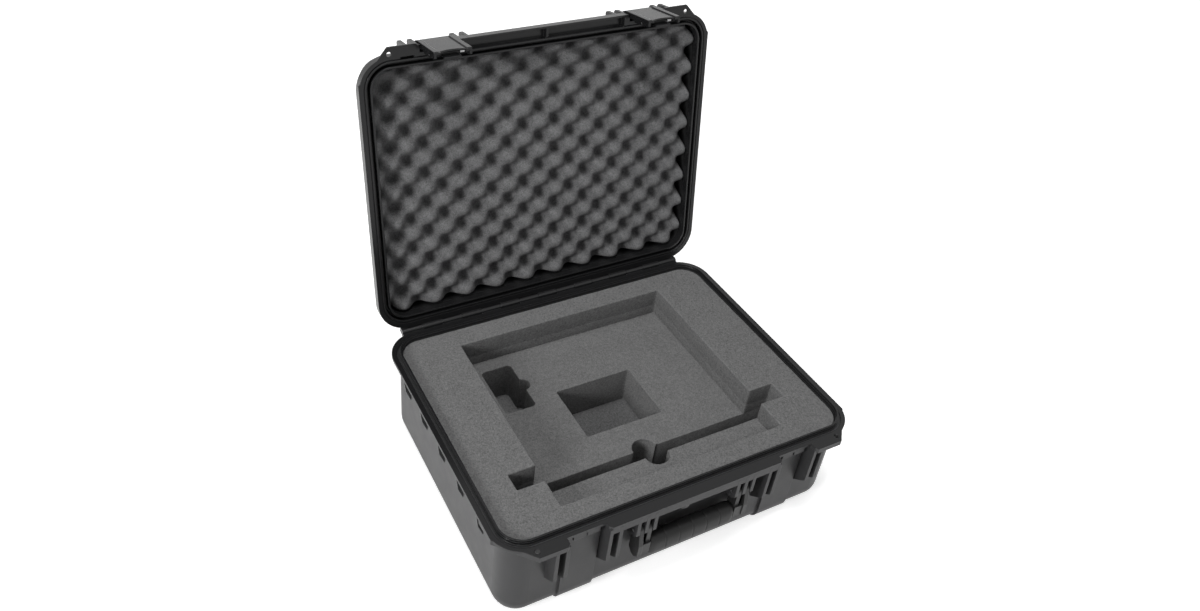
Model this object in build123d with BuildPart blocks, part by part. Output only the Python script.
from build123d import *
from math import radians, sqrt, tan
import os

# Hard moulded carrying case with a hinged lid, shown open, with cut foam inside.
# Millimetres. X is the width, +Y points to the hinge, +Z is up.
# The origin is the middle of the flat underside, which the case stands on.

# Body
body_w = 567.3
body_d = 420.8
corner_r = 37.0
wall = 3.5
base_h = 163.0
base_edge_r = 30.0
lid_h = 60.0
lid_edge_r = 22.0
parting_gap = 0.4

# Rim flange, shared by the base and the lid
side_out = 12.5
front_out = 11.2
flange_t = 5.0
skirt_t = 3.0
apron_half_w = 143.8
apron_out = 22.0
apron_drop = 14.8
apron_bevel = 4.0
corner_plate_in = 204.0
corner_plate_out = 24.6
corner_plate_drop = 9.0
corner_cut_x = 46.0
corner_cut_y = 50.0
lock_hole_x = 248.5
lock_hole_out = 14.3
lock_hole_d = 7.0

# Rim seal: a stepped tongue on the base, a channel with a gasket in the lid
tongue_h = 7.0
tongue_step_h = 4.0
tongue_out = 0.8
tongue_top_in = 2.3
tongue_top_out = 0.3
groove_in = 1.6
groove_w = 3.4
groove_depth = 2.5
lid_rim_h = 14.0
channel_in = 4.2
channel_out = 1.4
channel_depth = 11.4
inner_ridge_t = 2.8
gasket_w = 4.4
gasket_h = 4.0
gasket_gap = 0.3
pocket_depth = 10.0
pocket_end = 232.0
lid_plate_t = 3.0
seal_wall_t = 2.6
rim_line_w = 1.8
rim_line_depth = 2.5

# Hinge
hinge_back = 20.7
hinge_rise = 0.2
open_angle = 99.2
knuckle_r = 5.0
knuckle_pitch = 35.0
knuckle_count = 15
knuckle_gap = 0.6
knuckle_clear = 0.8
hinge_pin_r = 2.0
pin_fit = 0.05
hinge_cap_t = 2.5
heel_reach = 8.0
heel_gap = 0.25
heel_foot = 2.0

# Side fins
fin_count = 5
fin_pitch = 68.0
fin_t = 4.0
fin_out = 11.0
fin_drop = 48.0
lid_fin_h = 42.0
fin_lip = 0.1
fin_knee_in = 0.25
fin_knee_down = 0.55

# Latches
latch_x = 173.0
rib_near = 32.6
rib_far = 48.0
rib_t = 5.5
rib_out = 22.1
base_rib_end = 87.5
base_rib_root = 73.5
lid_rib_h = 37.0
rib_tip_r = 3.0
latch_half_w = 28.3
latch_rail_w = 7.0
latch_cheek_t = 3.5
latch_pivot_out = 14.1
latch_pivot_h = 24.0
latch_barrel_r = 6.0
latch_pin_r = 2.5
latch_face_out = 23.1
latch_plate_t = 2.8
rail_proud = 1.5
latch_drop = 52.0
mouth_half_w = 19.0
mouth_foot = 4.0
mouth_rise = 4.5
hook_half_w = 19.0
hook_gap = 1.0
hook_t = 6.0
hook_clear = 0.8
keeper_half_w = 20.0
keeper_drop = 12.5
keeper_slit_w = 3.2
panel_half_w = 27.0
panel_proud = 3.5

# Triggers inside the latches
trigger_pivot_out = 15.8
trigger_pivot_drop = 33.0
trigger_barrel_r = 3.6
trigger_pin_r = 1.5
trigger_side_gap = 0.5
trigger_pad_t = 2.4
trigger_pad_drop = 17.0
tongue_w = 2.2
tongue_rise = 25.0
spring_w = 8.0
spring_end_gap = 0.3

# Handle
blade_x = (69.0, 82.5, 96.0)
blade_t = 5.5
blade_end = 115.6
handle_pivot_out = 13.6
handle_pivot_z = 125.6
handle_eye_r = 7.5
handle_side_gap = 0.5
handle_pin_r = 2.0
handle_back_gap = 3.6
handle_front_out = 25.1
handle_foot_z = 70.0
handle_bridge_z = 97.6
grip_half_w = 71.8
grip_z = 82.0
grip_h = 36.0
grip_d = 24.0
grip_out = 14.2
grip_edge_r = 10.5
grip_end_cut = 2.5
grip_bar_h = 17.0
grip_bar_d = 12.0
grip_bar_up = 5.0

# Pressure vent under the apron
vent_x = -21.0
vent_out = 9.2
vent_boss_r = 12.7
vent_boss_drop = 20.0
vent_bore_r = 8.0
vent_bore_depth = 9.0
vent_air_r = 5.0
vent_air_depth = 4.0
vent_air_hole_r = 1.5
vent_fit = 0.1
vent_seal_t = 1.5
vent_membrane_t = 0.5
vent_cap_t = 6.0
vent_slot_w = 1.2
vent_slot_pitch = 4.0

# Foam in the base, cut layer by layer
foam_side_gap = 0.9
foam_drop = 1.4
layer_one_t = 32.2
layer_two_t = 18.1
layer_three_t = 66.7
recess_half_w = 186.0
recess_back = 168.6
groove_back = -96.3
groove_front = -125.1
groove_half_w = 229.0
strip_front = -172.2
finger_x = 2.0
finger_w = 39.0
finger_back = -77.0
finger_front = -144.0
pocket_x = 1.2
pocket_y = 9.7
pocket_w = 133.7
pocket_d = 102.0
small_pocket_x = -134.0
small_pocket_y = 96.6
small_pocket_w = 52.0
small_pocket_d = 97.0
thumb_w = 23.0

# Foam in the lid, with staggered hollows
lid_foam_gap = 0.7
lid_foam_top = 9.0
lid_foam_edge = 16.0
hollow_depth = 21.0
hollow_w = 25.0
hollow_d = 22.0
hollow_floor_w = 10.0
hollow_floor_d = 8.0
hollow_pitch_x = 27.75
hollow_pitch_y = 24.5
hollow_count_x = 9
hollow_count_y = 7

# Places worked out from the sizes above
front_face = -body_d / 2
back_face = body_d / 2
hinge_y = back_face + hinge_back
hinge_z = base_h + hinge_rise
lid_face_z = base_h + parting_gap
flange_back = hinge_y - knuckle_r - knuckle_clear
front_edge = front_face - front_out
apron_front = front_face - apron_out
foam_top = base_h - foam_drop
knuckle_w = knuckle_pitch - knuckle_gap
first_knuckle = -knuckle_pitch * (knuckle_count - 1) / 2
base_knuckles = [first_knuckle + knuckle_pitch * i for i in range(0, knuckle_count, 2)]
lid_knuckles = [first_knuckle + knuckle_pitch * i for i in range(1, knuckle_count, 2)]
hinge_half_w = knuckle_pitch * knuckle_count / 2 - hinge_cap_t
fin_places = [fin_pitch * (i - (fin_count - 1) / 2) for i in range(fin_count)]
rib_places = [side * latch_x + x for side in (-1, 1) for x in (-rib_far, -rib_near, rib_near, rib_far)]
blade_places = [side * x for side in (-1, 1) for x in blade_x]
heel_top = knuckle_r + knuckle_clear - heel_gap
heel_fall = tan(radians(open_angle - 90))
heel_start = knuckle_r * 0.7
web_foot = base_h - flange_t - hinge_back

# The lid is drawn shut, on a plane that the open hinge has already turned.
lid_arm = Vector(0, -hinge_y, lid_face_z - hinge_z).rotate(Axis.X, -open_angle)
lid_origin = Vector(0, hinge_y, hinge_z) + lid_arm
lid_plane = Plane(origin=lid_origin, x_dir=(1, 0, 0), z_dir=Vector(0, 0, 1).rotate(Axis.X, -open_angle))


def base_level(height):
    """Horizontal plane of the base."""
    return Plane.XY.offset(height)


def base_section(x):
    """Upright plane across the base at x, with (y, z) as its own axes."""
    return Plane.YZ.offset(x)


def lid_level(height):
    """Plane of the lid, level with its rim when shut."""
    return lid_plane.offset(height)


def lid_section(x):
    """Plane across the lid at x, with the shut lid's (y, height) as its own axes."""
    return Plane(origin=lid_plane.from_local_coords((x, 0, 0)), x_dir=lid_plane.y_dir, z_dir=lid_plane.x_dir)


def edge_cut(outer_radius):
    """Flat cut inside a rounded edge that just keeps the wall's thickness where it is thinnest."""
    return (outer_radius - wall) * (2 - sqrt(2))


def body_outline(grow, mode=Mode.ADD):
    """Rounded outline of the body, grown or shrunk all round."""
    RectangleRounded(body_w + 2 * grow, body_d + 2 * grow, corner_r + grow, mode=mode)


# Plan of the rim flange: two corner plates, and a ring with a front apron.
with BuildSketch() as corner_plan:
    for side in (-1, 1):
        inner = side * corner_plate_in
        outer = side * (body_w / 2 + side_out)
        plate_front = front_face - corner_plate_out
        with BuildLine():
            Polyline(
                (inner, front_face + corner_r),
                (inner, plate_front + apron_bevel),
                (inner + side * apron_bevel, plate_front),
                (outer - side * corner_cut_x, plate_front),
                (outer, plate_front + corner_cut_y),
                (outer, plate_front + corner_cut_y + corner_r),
                close=True,
            )
        make_face()

with BuildSketch() as ring_plan:
    with Locations((0, (flange_back + front_edge) / 2)):
        RectangleRounded(body_w + 2 * side_out, flange_back - front_edge, corner_r + side_out)
    with BuildLine():
        Polyline(
            (-apron_half_w, front_face),
            (-apron_half_w, apron_front + apron_bevel),
            (-apron_half_w + apron_bevel, apron_front),
            (apron_half_w - apron_bevel, apron_front),
            (apron_half_w, apron_front + apron_bevel),
            (apron_half_w, front_face),
            close=True,
        )
    make_face()

# Outer and inner forms of the two shells.
with BuildPart() as base_body:
    with BuildSketch(base_level(0)):
        body_outline(0)
    extrude(amount=base_h)
    fillet(base_body.edges().group_by(Axis.Z)[0], radius=base_edge_r)

with BuildPart() as base_cavity:
    with BuildSketch(base_level(wall)):
        body_outline(-wall)
    extrude(amount=base_h + tongue_h)
    chamfer(base_cavity.edges().group_by(Axis.Z)[0], length=edge_cut(base_edge_r))

with BuildPart() as landing_panels:
    add(base_body.part.moved(Location((0, -panel_proud, 0))))
    with Locations((-latch_x, front_face, base_h / 2), (latch_x, front_face, base_h / 2)):
        Box(2 * panel_half_w, 4 * base_edge_r, base_h - 2 * flange_t, mode=Mode.INTERSECT)


def fin_outline(root, drop):
    """Profile of a curved web that carries the right side's flange on the wall."""
    reach = body_w / 2 + fin_out
    near = (body_w - wall) / 2
    with BuildLine() as outline:
        Polyline(
            (near, root),
            (reach, root),
            (reach, root + drop * fin_lip),
            (reach - fin_out * fin_knee_in, root + drop * fin_knee_down),
            (body_w / 2, root + drop),
            (near, root + drop),
            close=True,
        )
    return outline.edges()


def base_fin_section(y):
    """Upright plane along the base at y, with (x, z) as its own axes."""
    return Plane(origin=(0, y, 0), x_dir=(1, 0, 0), z_dir=(0, -1, 0))


def lid_fin_section(y):
    """Plane along the lid at y, with (x, height) as its own axes."""
    return Plane(origin=lid_plane.from_local_coords((0, y, 0)), x_dir=lid_plane.x_dir, z_dir=-lid_plane.y_dir)


with BuildPart() as base_shell:
    add(base_body.part)
    add(landing_panels.part)
    # Flange with its turned-down skirts
    with BuildSketch(base_level(base_h)):
        add(ring_plan.sketch)
    extrude(amount=-flange_t)
    with BuildSketch(base_level(base_h)):
        add(corner_plan.sketch)
    extrude(amount=-corner_plate_drop)
    with BuildSketch(base_section(0)):
        with BuildLine():
            Polyline(
                (front_face, base_h - flange_t),
                (apron_front + skirt_t, base_h - flange_t),
                (apron_front + skirt_t, base_h - apron_drop),
                (apron_front, base_h - apron_drop),
                (apron_front, base_h - skirt_t / 2),
                (apron_front + skirt_t / 2, base_h),
                (front_face, base_h),
                close=True,
            )
        make_face()
    extrude(amount=apron_half_w - apron_bevel, both=True)
    # Keeper lip for each latch, with the slit that takes the trigger's tongue
    with BuildSketch(base_level(base_h - keeper_drop)):
        for side in (-1, 1):
            with Locations((side * latch_x, front_edge + skirt_t / 2)):
                Rectangle(2 * keeper_half_w, skirt_t)
                Rectangle(keeper_slit_w, skirt_t, mode=Mode.SUBTRACT)
    extrude(amount=keeper_drop - flange_t)
    # Guard ribs, in pairs on both sides of each latch
    with BuildSketch(*[base_section(x) for x in rib_places]):
        with BuildLine():
            Polyline(
                (front_face + wall / 2, base_h - flange_t),
                (front_face - rib_out, base_h - flange_t),
                (front_face - rib_out, base_rib_end + rib_t),
                (front_face - rib_out + rib_t, base_rib_end),
                (front_face, base_rib_root),
                (front_face + wall / 2, base_rib_root),
                close=True,
            )
        make_face()
    extrude(amount=rib_t / 2, both=True)
    # Blades that carry the handle
    with BuildSketch(*[base_section(x) for x in blade_places]):
        with BuildLine():
            Polyline(
                (front_face + wall / 2, base_h - flange_t),
                (front_face - rib_out, base_h - flange_t),
                (front_face - rib_out, blade_end + blade_t),
                (front_face - rib_out + blade_t, blade_end),
                (front_face, blade_end - blade_t),
                (front_face + wall / 2, blade_end - blade_t),
                close=True,
            )
        make_face()
    extrude(amount=blade_t / 2, both=True)
    # Fins under the side flanges
    with BuildSketch(*[base_fin_section(y) for y in fin_places]):
        make_face(fin_outline(base_h - flange_t, -fin_drop))
        mirror(about=Plane.YZ)
    extrude(amount=fin_t / 2, both=True)
    # Hinge knuckles, each with a web under the flange and a heel that stops the lid
    with BuildSketch(*[base_section(x) for x in base_knuckles]):
        with Locations((hinge_y, hinge_z)):
            Circle(knuckle_r)
        with BuildLine():
            Polyline(
                (hinge_y, hinge_z - knuckle_r),
                (hinge_y + heel_reach, hinge_z - knuckle_r + heel_foot),
                (hinge_y + heel_reach, hinge_z + heel_top - heel_reach * heel_fall),
                (hinge_y + heel_start, hinge_z + heel_top - heel_start * heel_fall),
                (hinge_y, hinge_z),
                close=True,
            )
        make_face()
        with BuildLine():
            Polyline(
                (flange_back - flange_t, base_h),
                (hinge_y, base_h),
                (hinge_y, hinge_z - knuckle_r),
                (back_face, web_foot),
                (back_face - wall / 2, web_foot),
                (back_face - wall / 2, base_h - flange_t),
                close=True,
            )
        make_face()
    extrude(amount=knuckle_w / 2, both=True)
    # Boss for the pressure vent
    with BuildSketch(base_level(base_h - vent_boss_drop)):
        with Locations((vent_x, front_face - vent_out)):
            Circle(vent_boss_r)
    extrude(amount=vent_boss_drop - flange_t)
    # Stepped tongue round the opening
    with BuildSketch(base_level(base_h)):
        body_outline(tongue_out)
    extrude(amount=tongue_step_h)
    with BuildSketch(base_level(base_h + tongue_step_h)):
        body_outline(tongue_top_out)
    extrude(amount=tongue_h - tongue_step_h)
    # Everything that is taken away
    add(base_cavity.part, mode=Mode.SUBTRACT)
    with BuildSketch(base_level(base_h + tongue_step_h)):
        body_outline(-tongue_top_in)
    extrude(amount=tongue_h, mode=Mode.SUBTRACT)
    with BuildSketch(base_level(base_h)):
        body_outline(groove_in + groove_w)
        body_outline(groove_in, mode=Mode.SUBTRACT)
    extrude(amount=-groove_depth, mode=Mode.SUBTRACT)
    with BuildSketch(base_level(base_h)):
        with Locations((-lock_hole_x, front_face - lock_hole_out), (lock_hole_x, front_face - lock_hole_out)):
            Circle(lock_hole_d / 2)
    extrude(amount=-corner_plate_drop, mode=Mode.SUBTRACT)
    with BuildSketch(base_section(0)):
        with Locations((hinge_y, hinge_z)):
            Circle(hinge_pin_r + pin_fit)
    extrude(amount=hinge_half_w, both=True, mode=Mode.SUBTRACT)
    with BuildSketch(base_section(0)):
        with Locations((front_face - handle_pivot_out, handle_pivot_z)):
            Circle(handle_pin_r + pin_fit)
    extrude(amount=blade_x[-1] + blade_t / 2, both=True, mode=Mode.SUBTRACT)
    with BuildSketch(base_level(base_h - vent_boss_drop)):
        with Locations((vent_x, front_face - vent_out)):
            Circle(vent_bore_r)
    extrude(amount=vent_bore_depth, mode=Mode.SUBTRACT)
    vent_roof = base_h - vent_boss_drop + vent_bore_depth
    with BuildSketch(base_level(vent_roof)):
        with Locations((vent_x, front_face - vent_out)):
            Circle(vent_air_r)
    extrude(amount=vent_air_depth, mode=Mode.SUBTRACT)
    air_way = Vector(vent_x, front_face - vent_out, vent_roof + vent_air_depth / 2)
    with BuildSketch(Plane(origin=air_way, z_dir=(0, 1, 0))):
        Circle(vent_air_hole_r)
    extrude(amount=vent_out + 2 * wall, mode=Mode.SUBTRACT)
base_shell.part.label = "base_shell"


# The lid's body, its rim block with the seal channel, pockets and ribs.
lid_roof = Axis(lid_origin, lid_plane.z_dir)
with BuildPart() as lid_cavity:
    with BuildSketch(lid_level(lid_rim_h)):
        body_outline(-wall)
    extrude(amount=lid_h - lid_rim_h - wall)
    chamfer(lid_cavity.faces().sort_by(lid_roof)[-1].edges(), length=edge_cut(lid_edge_r))
    with BuildSketch(lid_level(0)):
        body_outline(-channel_in - inner_ridge_t)
    extrude(amount=lid_rim_h)

with BuildPart() as lid_shell:
    with BuildSketch(lid_level(0)):
        body_outline(0)
    extrude(amount=lid_h)
    fillet(lid_shell.faces().sort_by(lid_roof)[-1].edges(), radius=lid_edge_r)
    with BuildSketch(lid_level(0)):
        add(ring_plan.sketch)
    extrude(amount=lid_rim_h)
    with BuildSketch(lid_level(0)):
        add(corner_plan.sketch)
    extrude(amount=lid_plate_t)
    # Ribs that hold the latch pins
    with BuildSketch(*[lid_section(x) for x in rib_places]):
        with BuildLine():
            Polyline(
                (front_face + wall / 2, 0),
                (front_face - rib_out, 0),
                (front_face - rib_out, lid_rib_h - rib_tip_r),
                (front_face - rib_out + rib_tip_r, lid_rib_h),
                (front_face - rib_out / 2, lid_rib_h),
                (front_face + wall / 2, lid_rib_h - rib_out / 2),
                close=True,
            )
        make_face()
    extrude(amount=rib_t / 2, both=True)
    with BuildSketch(*[lid_fin_section(y) for y in fin_places]):
        make_face(fin_outline(lid_rim_h - flange_t, lid_fin_h - lid_rim_h + flange_t))
        mirror(about=Plane.YZ)
    extrude(amount=fin_t / 2, both=True)
    # Hinge knuckles of the lid
    with BuildSketch(*[lid_section(x) for x in lid_knuckles]):
        with Locations((hinge_y, hinge_z - lid_face_z)):
            Circle(knuckle_r)
        with BuildLine():
            Polyline(
                (flange_back - flange_t, 0),
                (hinge_y, 0),
                (hinge_y, knuckle_r + hinge_z - lid_face_z),
                (flange_back - flange_t, lid_rim_h),
                close=True,
            )
        make_face()
    extrude(amount=knuckle_w / 2, both=True)
    # Inside of the lid, narrower at the rim where the inner ridge stands
    add(lid_cavity.part, mode=Mode.SUBTRACT)
    # Seal channel, rim line and front pockets
    with BuildSketch(lid_level(0)):
        body_outline(channel_out)
        body_outline(-channel_in, mode=Mode.SUBTRACT)
    extrude(amount=channel_depth, mode=Mode.SUBTRACT)
    with BuildSketch(lid_level(0)):
        body_outline(channel_out + seal_wall_t + rim_line_w)
        body_outline(channel_out + seal_wall_t, mode=Mode.SUBTRACT)
    extrude(amount=rim_line_depth, mode=Mode.SUBTRACT)
    with BuildSketch(lid_level(0)):
        add(ring_plan.sketch)
        offset(amount=-skirt_t, mode=Mode.REPLACE)
        body_outline(channel_out + seal_wall_t, mode=Mode.SUBTRACT)
        with Locations((0, front_face / 2 + back_face)):
            Rectangle(2 * body_w, body_d + back_face, mode=Mode.SUBTRACT)
        for side in (-1, 1):
            with Locations((side * latch_x, front_face)):
                Rectangle(2 * (rib_near + rib_t), 2 * apron_out, mode=Mode.SUBTRACT)
            with Locations((side * body_w / 2, front_face)):
                Rectangle(body_w - 2 * pocket_end, 2 * apron_out, mode=Mode.SUBTRACT)
        with Locations((0, front_face - apron_out / 2)):
            Rectangle(skirt_t, apron_out, mode=Mode.SUBTRACT)
    extrude(amount=pocket_depth, mode=Mode.SUBTRACT)
    with BuildSketch(lid_level(0)):
        with Locations((-lock_hole_x, front_face - lock_hole_out), (lock_hole_x, front_face - lock_hole_out)):
            Circle(lock_hole_d / 2)
    extrude(amount=lid_rim_h, mode=Mode.SUBTRACT)
    with BuildSketch(lid_section(0)):
        with Locations((hinge_y, hinge_z - lid_face_z)):
            Circle(hinge_pin_r + pin_fit)
    extrude(amount=hinge_half_w, both=True, mode=Mode.SUBTRACT)
    for side in (-1, 1):
        with BuildSketch(lid_section(side * latch_x)):
            with Locations((front_face - latch_pivot_out, latch_pivot_h)):
                Circle(latch_pin_r + pin_fit)
        extrude(amount=rib_near + rib_t / 2, both=True, mode=Mode.SUBTRACT)
lid_shell.part.label = "lid_shell"

with BuildPart() as lid_gasket:
    gasket_mid = (channel_out - channel_in) / 2
    with BuildSketch(lid_level(channel_depth - gasket_gap)):
        body_outline(gasket_mid + gasket_w / 2)
        body_outline(gasket_mid - gasket_w / 2, mode=Mode.SUBTRACT)
    extrude(amount=-gasket_h)
lid_gasket.part.label = "lid_gasket"

with BuildPart() as hollow:
    with BuildSketch(Plane.XZ):
        with BuildLine():
            Polyline(
                (-hollow_w / 2, 0),
                (hollow_w / 2, 0),
                (hollow_floor_w / 2, hollow_depth),
                (-hollow_floor_w / 2, hollow_depth),
                close=True,
            )
        make_face()
    extrude(amount=hollow_d, both=True)
    with BuildSketch(Plane.YZ):
        with BuildLine():
            Polyline(
                (-hollow_d / 2, 0),
                (hollow_d / 2, 0),
                (hollow_floor_d / 2, hollow_depth),
                (-hollow_floor_d / 2, hollow_depth),
                close=True,
            )
        make_face()
    extrude(amount=hollow_w, both=True, mode=Mode.INTERSECT)

hollow_places = [
    lid_plane.location * Location((i * hollow_pitch_x, j * hollow_pitch_y, lid_foam_top))
    for i in range(-hollow_count_x, hollow_count_x + 1)
    for j in range(-hollow_count_y, hollow_count_y + 1)
    if (i + j) % 2 == 0
]

with BuildPart() as lid_foam:
    with BuildSketch(lid_level(lid_foam_edge)):
        body_outline(-wall - lid_foam_gap)
    extrude(amount=lid_h - wall - gasket_gap - lid_foam_edge)
    chamfer(lid_foam.faces().sort_by(lid_roof)[-1].edges(), length=edge_cut(lid_edge_r))
    with BuildSketch(lid_level(lid_foam_top)):
        body_outline(-channel_in - inner_ridge_t - lid_foam_gap)
    extrude(amount=lid_foam_edge - lid_foam_top)
    with Locations(*hollow_places):
        add(hollow.part, mode=Mode.SUBTRACT)
lid_foam.part.label = "lid_foam"

# Foam layers of the base, from the top down.
with BuildSketch() as deep_cuts:
    with Locations((0, (groove_back + groove_front) / 2)):
        Rectangle(2 * groove_half_w, groove_back - groove_front)
    with Locations((finger_x, (finger_back + finger_front) / 2)):
        Rectangle(finger_w, finger_back - finger_front)

with BuildPart() as foam_top_layer:
    with BuildSketch(base_level(foam_top)):
        body_outline(-wall - foam_side_gap)
        with Locations((0, (recess_back + groove_front) / 2)):
            Rectangle(2 * recess_half_w, recess_back - groove_front, mode=Mode.SUBTRACT)
        with Locations((0, (groove_back + strip_front) / 2)):
            Rectangle(2 * recess_half_w, groove_back - strip_front, mode=Mode.SUBTRACT)
        add(deep_cuts.sketch, mode=Mode.SUBTRACT)
    extrude(amount=-layer_one_t)
foam_top_layer.part.label = "foam_top_layer"

layer_two_top = foam_top - layer_one_t
with BuildPart() as foam_second_layer:
    with BuildSketch(base_level(layer_two_top)):
        body_outline(-wall - foam_side_gap)
        with Locations((0, (recess_back + groove_front) / 2)):
            Rectangle(2 * recess_half_w, recess_back - groove_front, mode=Mode.SUBTRACT)
        add(deep_cuts.sketch, mode=Mode.SUBTRACT)
    extrude(amount=-layer_two_t)
foam_second_layer.part.label = "foam_second_layer"

layer_three_top = layer_two_top - layer_two_t
with BuildPart() as foam_pocket_layer:
    with BuildSketch(base_level(layer_three_top)):
        body_outline(-wall - foam_side_gap)
        with Locations((pocket_x, pocket_y)):
            Rectangle(pocket_w, pocket_d, mode=Mode.SUBTRACT)
        with Locations((small_pocket_x, small_pocket_y)):
            Rectangle(small_pocket_w, small_pocket_d, mode=Mode.SUBTRACT)
        with Locations((small_pocket_x + small_pocket_w / 2, small_pocket_y)):
            Rectangle(thumb_w, thumb_w, mode=Mode.SUBTRACT)
        add(deep_cuts.sketch, mode=Mode.SUBTRACT)
    extrude(amount=-layer_three_t)
foam_pocket_layer.part.label = "foam_pocket_layer"

pad_top = layer_three_top - layer_three_t
pad_bottom = wall + gasket_gap
with BuildPart() as foam_bottom_pad:
    with BuildSketch(base_level(pad_bottom)):
        body_outline(-wall - foam_side_gap)
    extrude(amount=pad_top - pad_bottom)
    chamfer(foam_bottom_pad.edges().group_by(Axis.Z)[0], length=edge_cut(base_edge_r))
foam_bottom_pad.part.label = "foam_bottom_pad"

with BuildPart() as hinge_pin:
    with BuildSketch(base_section(0)):
        with Locations((hinge_y, hinge_z)):
            Circle(hinge_pin_r)
    extrude(amount=hinge_half_w - gasket_gap, both=True)
hinge_pin.part.label = "hinge_pin"


def make_latch(centre_x):
    """Latch: a plate between two raised rails, cheeks, a hinge barrel and a hook bar."""
    pivot_y = front_face - latch_pivot_out
    face_y = front_face - latch_face_out
    plate_in = face_y + latch_plate_t
    keeper_y = front_edge - hook_gap
    hook_top = -(keeper_drop + parting_gap + hook_clear)
    rail_face = face_y - rail_proud
    rail_in = latch_half_w - latch_rail_w
    with BuildPart() as latch:
        # Plate, curving over to the barrel
        with BuildSketch(lid_section(centre_x)):
            with BuildLine():
                Polyline(
                    (pivot_y, latch_pivot_h + latch_barrel_r),
                    (pivot_y - latch_barrel_r * 0.8, latch_pivot_h + latch_barrel_r * 0.8),
                    (face_y, latch_pivot_h - latch_barrel_r * 0.7),
                    (face_y, -latch_drop),
                    (plate_in, -latch_drop),
                    (plate_in, latch_pivot_h - latch_barrel_r),
                    (pivot_y, latch_pivot_h - latch_barrel_r),
                    close=True,
                )
            make_face()
            with Locations((pivot_y, latch_pivot_h)):
                Circle(latch_barrel_r)
        extrude(amount=latch_half_w, both=True)
        # Raised rails along both edges
        for side in (-1, 1):
            with BuildSketch(lid_section(centre_x + side * rail_in)):
                with BuildLine():
                    Polyline(
                        (rail_face, latch_pivot_h - latch_barrel_r * 1.6),
                        (rail_face, -latch_drop + rail_proud),
                        (rail_face + rail_proud, -latch_drop),
                        (plate_in, -latch_drop),
                        (plate_in, latch_pivot_h - latch_barrel_r * 0.7),
                        (face_y, latch_pivot_h - latch_barrel_r * 0.7),
                        close=True,
                    )
                make_face()
            extrude(amount=side * latch_rail_w)
        # Cheeks that carry the trigger pin
        for side in (-1, 1):
            with BuildSketch(lid_section(centre_x + side * latch_half_w)):
                with BuildLine():
                    Polyline(
                        (face_y, latch_pivot_h - latch_barrel_r),
                        (face_y, -latch_drop),
                        (keeper_y - 2 * rail_proud, -latch_drop),
                        (keeper_y - rail_proud, -latch_drop + 2 * rail_proud),
                        (keeper_y, hook_top),
                        (keeper_y - latch_cheek_t, hook_top + latch_cheek_t),
                        (keeper_y - latch_cheek_t, latch_pivot_h - latch_barrel_r),
                        close=True,
                    )
                make_face()
            extrude(amount=-side * latch_cheek_t)
        # Hook bar that reaches under the keeper, slotted for the trigger's tongue
        with BuildSketch(lid_section(centre_x)):
            with BuildLine():
                Polyline(
                    (plate_in, hook_top + hook_t / 2),
                    (plate_in + hook_t / 2, hook_top),
                    (keeper_y, hook_top),
                    (keeper_y, hook_top - hook_t / 2),
                    (plate_in, hook_top - hook_t),
                    close=True,
                )
            make_face()
        extrude(amount=hook_half_w, both=True)
        with BuildSketch(lid_section(centre_x)):
            with Locations(((plate_in + keeper_y) / 2, hook_top)):
                Rectangle(keeper_y - plate_in, 3 * hook_t)
        extrude(amount=tongue_w, both=True, mode=Mode.SUBTRACT)
        # Arched mouth at the free end
        mouth_plane = Plane(origin=lid_plane.from_local_coords((centre_x, plate_in, -latch_drop)),
                            x_dir=lid_plane.x_dir, z_dir=-lid_plane.y_dir)
        with BuildSketch(mouth_plane):
            with BuildLine():
                ThreePointArc(
                    (-mouth_half_w, mouth_foot), (0, mouth_foot + mouth_rise), (mouth_half_w, mouth_foot))
                Polyline(
                    (mouth_half_w, mouth_foot),
                    (mouth_half_w, 0),
                    (-mouth_half_w, 0),
                    (-mouth_half_w, mouth_foot),
                )
            make_face()
        extrude(amount=latch_plate_t, mode=Mode.SUBTRACT)
        # Bores
        with BuildSketch(lid_section(centre_x)):
            with Locations((pivot_y, latch_pivot_h)):
                Circle(latch_pin_r + pin_fit)
            with Locations((front_face - trigger_pivot_out, -trigger_pivot_drop)):
                Circle(trigger_pin_r + pin_fit)
        extrude(amount=latch_half_w, both=True, mode=Mode.SUBTRACT)
    return latch


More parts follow.
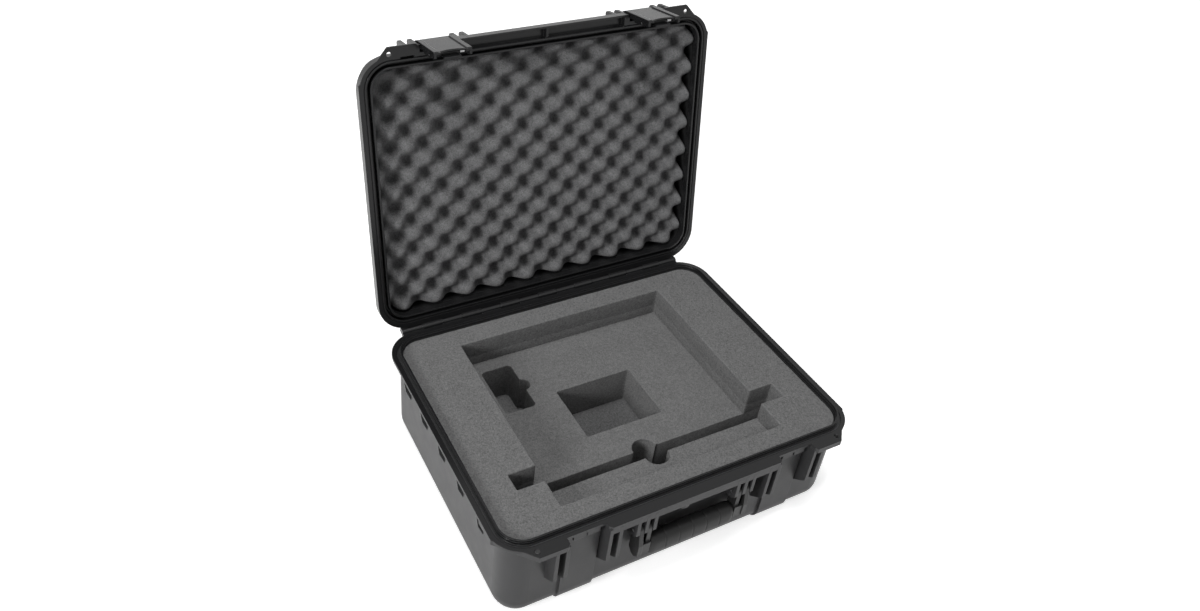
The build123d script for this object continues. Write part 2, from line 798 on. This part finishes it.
def make_trigger(centre_x):
    """Trigger: a barrel on its pin, a finger pad below and a thin tongue above."""
    pin_y = front_face - trigger_pivot_out
    pin_z = -trigger_pivot_drop
    half_w = latch_half_w - latch_cheek_t - trigger_side_gap
    pad_half_w = latch_half_w - latch_rail_w - trigger_side_gap
    keeper_y = front_edge - hook_gap
    pad_in = pin_y + trigger_barrel_r
    with BuildPart() as trigger:
        with BuildSketch(lid_section(centre_x - half_w)):
            with Locations((pin_y, pin_z)):
                Circle(trigger_barrel_r)
        extrude(amount=2 * half_w - spring_w)
        with BuildSketch(lid_section(centre_x)):
            with BuildLine():
                Polyline(
                    (pin_y, pin_z),
                    (pad_in - trigger_pad_t, pin_z - trigger_barrel_r),
                    (pad_in - trigger_pad_t, pin_z - trigger_pad_drop),
                    (pad_in, pin_z - trigger_pad_drop),
                    (pad_in, pin_z),
                    close=True,
                )
            make_face()
        extrude(amount=pad_half_w - spring_w, both=True)
        with BuildSketch(lid_section(centre_x)):
            with BuildLine():
                Polyline(
                    (pin_y - trigger_pad_t, pin_z),
                    (pad_in - pin_fit, pin_z),
                    (keeper_y, pin_z + tongue_rise - trigger_barrel_r),
                    (keeper_y, pin_z + tongue_rise),
                    (keeper_y - trigger_pad_t, pin_z + tongue_rise),
                    (pin_y - trigger_pad_t, pin_z + trigger_barrel_r),
                    close=True,
                )
            make_face()
        extrude(amount=tongue_w / 2, both=True)
        with BuildSketch(lid_section(centre_x)):
            with Locations((pin_y, pin_z)):
                Circle(trigger_pin_r + pin_fit)
        extrude(amount=latch_half_w, both=True, mode=Mode.SUBTRACT)
    return trigger


def make_pin(section, y, z, radius, half_length):
    """Plain pin along the width, centred on a section plane."""
    with BuildPart() as pin:
        with BuildSketch(section):
            with Locations((y, z)):
                Circle(radius)
        extrude(amount=half_length, both=True)
    return pin


def make_spring(centre_x):
    """Torsion spring round the trigger pin, as its close-wound sleeve."""
    spring_mid = latch_half_w - latch_cheek_t - trigger_side_gap - spring_w / 2
    with BuildPart() as spring:
        with BuildSketch(lid_section(centre_x + spring_mid)):
            with Locations((front_face - trigger_pivot_out, -trigger_pivot_drop)):
                Circle(trigger_barrel_r - spring_end_gap)
                Circle(trigger_pin_r + 2 * pin_fit, mode=Mode.SUBTRACT)
        extrude(amount=spring_w / 2 - spring_end_gap, both=True)
    return spring


def handle_eye_places(side):
    """Middle of each gap between neighbouring blades."""
    return [side * (blade_x[i] + blade_x[i + 1]) / 2 for i in range(len(blade_x) - 1)]


eye_t = blade_x[1] - blade_x[0] - blade_t - 2 * handle_side_gap
handle_pivot_y = front_face - handle_pivot_out
handle_front = front_face - handle_front_out
handle_back = front_face - handle_back_gap
grip_y = front_face - grip_out

with BuildPart() as handle_frame:
    for side in (-1, 1):
        inner_eye, outer_eye = handle_eye_places(side)
        # Outer arm, a deep plate with rounded lower corners
        with BuildSketch(base_section(outer_eye)):
            with BuildLine():
                Polyline(
                    (handle_pivot_y - handle_eye_r, handle_pivot_z),
                    (handle_front, handle_bridge_z),
                    (handle_front, handle_foot_z + handle_eye_r),
                    (handle_front + handle_eye_r, handle_foot_z),
                    (handle_back - handle_eye_r, handle_foot_z),
                    (handle_back, handle_foot_z + handle_eye_r),
                    (handle_back, handle_bridge_z),
                    (handle_pivot_y + handle_eye_r, handle_pivot_z),
                    close=True,
                )
            make_face()
            with Locations((handle_pivot_y, handle_pivot_z)):
                Circle(handle_eye_r)
        extrude(amount=eye_t / 2, both=True)
        # Inner arm down to the bridge
        with BuildSketch(base_section(inner_eye)):
            with BuildLine():
                Polyline(
                    (handle_pivot_y - handle_eye_r, handle_pivot_z),
                    (handle_pivot_y - handle_eye_r, handle_bridge_z - handle_eye_r),
                    (handle_pivot_y + handle_eye_r, handle_bridge_z - handle_eye_r),
                    (handle_pivot_y + handle_eye_r, handle_pivot_z),
                    close=True,
                )
            make_face()
            with Locations((handle_pivot_y, handle_pivot_z)):
                Circle(handle_eye_r)
        extrude(amount=eye_t / 2, both=True)
        # Bridge block between the arms and the grip
        with BuildSketch(base_section(side * grip_half_w)):
            with BuildLine():
                Polyline(
                    (handle_front + rail_proud, handle_bridge_z),
                    (handle_front + rail_proud, handle_foot_z + handle_eye_r),
                    (handle_front + handle_eye_r, handle_foot_z + rail_proud),
                    (handle_back - handle_eye_r, handle_foot_z + rail_proud),
                    (handle_back - rail_proud, handle_foot_z + handle_eye_r),
                    (handle_back - rail_proud, handle_bridge_z),
                    close=True,
                )
            make_face()
        extrude(amount=outer_eye - side * grip_half_w)
    # Bar through the grip
    with BuildSketch(base_section(0)):
        with Locations((grip_y, grip_z + grip_bar_up)):
            Rectangle(grip_bar_d, grip_bar_h)
    extrude(amount=grip_half_w, both=True)
    with BuildSketch(base_section(0)):
        with Locations((handle_pivot_y, handle_pivot_z)):
            Circle(handle_pin_r + pin_fit)
    extrude(amount=apron_half_w, both=True, mode=Mode.SUBTRACT)
handle_frame.part.label = "handle_frame"

with BuildPart() as handle_grip:
    with BuildSketch(base_section(0)):
        with Locations((grip_y, grip_z)):
            RectangleRounded(grip_d, grip_h, grip_edge_r)
    extrude(amount=grip_half_w, both=True)
    grip_ends = handle_grip.faces().sort_by(Axis.X)
    chamfer(grip_ends[0].edges() + grip_ends[-1].edges(), length=grip_end_cut, length2=2 * grip_end_cut)
    with BuildSketch(base_section(0)):
        with Locations((grip_y, grip_z + grip_bar_up)):
            Rectangle(grip_bar_d, grip_bar_h)
    extrude(amount=grip_half_w, both=True, mode=Mode.SUBTRACT)
handle_grip.part.label = "handle_grip"

vent_y = front_face - vent_out
with BuildPart() as vent_seal:
    with BuildSketch(base_level(vent_roof)):
        with Locations((vent_x, vent_y)):
            Circle(vent_bore_r - vent_fit)
            Circle(vent_air_r, mode=Mode.SUBTRACT)
    extrude(amount=-vent_seal_t)
vent_seal.part.label = "vent_seal"

with BuildPart() as vent_membrane:
    with BuildSketch(base_level(vent_roof - vent_seal_t)):
        with Locations((vent_x, vent_y)):
            Circle(vent_bore_r - vent_fit)
    extrude(amount=-vent_membrane_t)
vent_membrane.part.label = "vent_membrane"

with BuildPart() as vent_cap:
    with BuildSketch(base_level(vent_roof - vent_seal_t - vent_membrane_t)):
        with Locations((vent_x, vent_y)):
            Circle(vent_bore_r - vent_fit)
            with GridLocations(0, vent_slot_pitch, 1, 2):
                Rectangle(vent_air_r, vent_slot_w, mode=Mode.SUBTRACT)
    extrude(amount=-vent_cap_t)
vent_cap.part.label = "vent_cap"

latches = {}
for name, side in (("left", -1), ("right", 1)):
    bay = side * latch_x
    latches["latch_" + name] = make_latch(bay)
    latches["latch_pin_" + name] = make_pin(
        lid_section(bay), front_face - latch_pivot_out, latch_pivot_h, latch_pin_r, rib_near + rib_t / 2)
    latches["trigger_" + name] = make_trigger(bay)
    latches["trigger_pin_" + name] = make_pin(
        lid_section(bay), front_face - trigger_pivot_out, -trigger_pivot_drop, trigger_pin_r, latch_half_w)
    latches["trigger_spring_" + name] = make_spring(bay)
    latches["handle_pin_" + name] = make_pin(
        base_section(side * blade_x[1]), handle_pivot_y, handle_pivot_z, handle_pin_r,
        (blade_x[-1] - blade_x[0] + blade_t) / 2)

os.makedirs("parts", exist_ok=True)
export_step(base_shell.part, "parts/base_shell.step")
export_step(foam_top_layer.part, "parts/foam_top_layer.step")
export_step(foam_second_layer.part, "parts/foam_second_layer.step")
export_step(foam_pocket_layer.part, "parts/foam_pocket_layer.step")
export_step(foam_bottom_pad.part, "parts/foam_bottom_pad.step")
export_step(hinge_pin.part, "parts/hinge_pin.step")
export_step(lid_shell.part, "parts/lid_shell.step")
export_step(lid_gasket.part, "parts/lid_gasket.step")
export_step(lid_foam.part, "parts/lid_foam.step")
export_step(handle_frame.part, "parts/handle_frame.step")
export_step(handle_grip.part, "parts/handle_grip.step")
export_step(vent_seal.part, "parts/vent_seal.step")
export_step(vent_membrane.part, "parts/vent_membrane.step")
export_step(vent_cap.part, "parts/vent_cap.step")
for name, builder in latches.items():
    builder.part.label = name
    export_step(builder.part, f"parts/{name}.step")
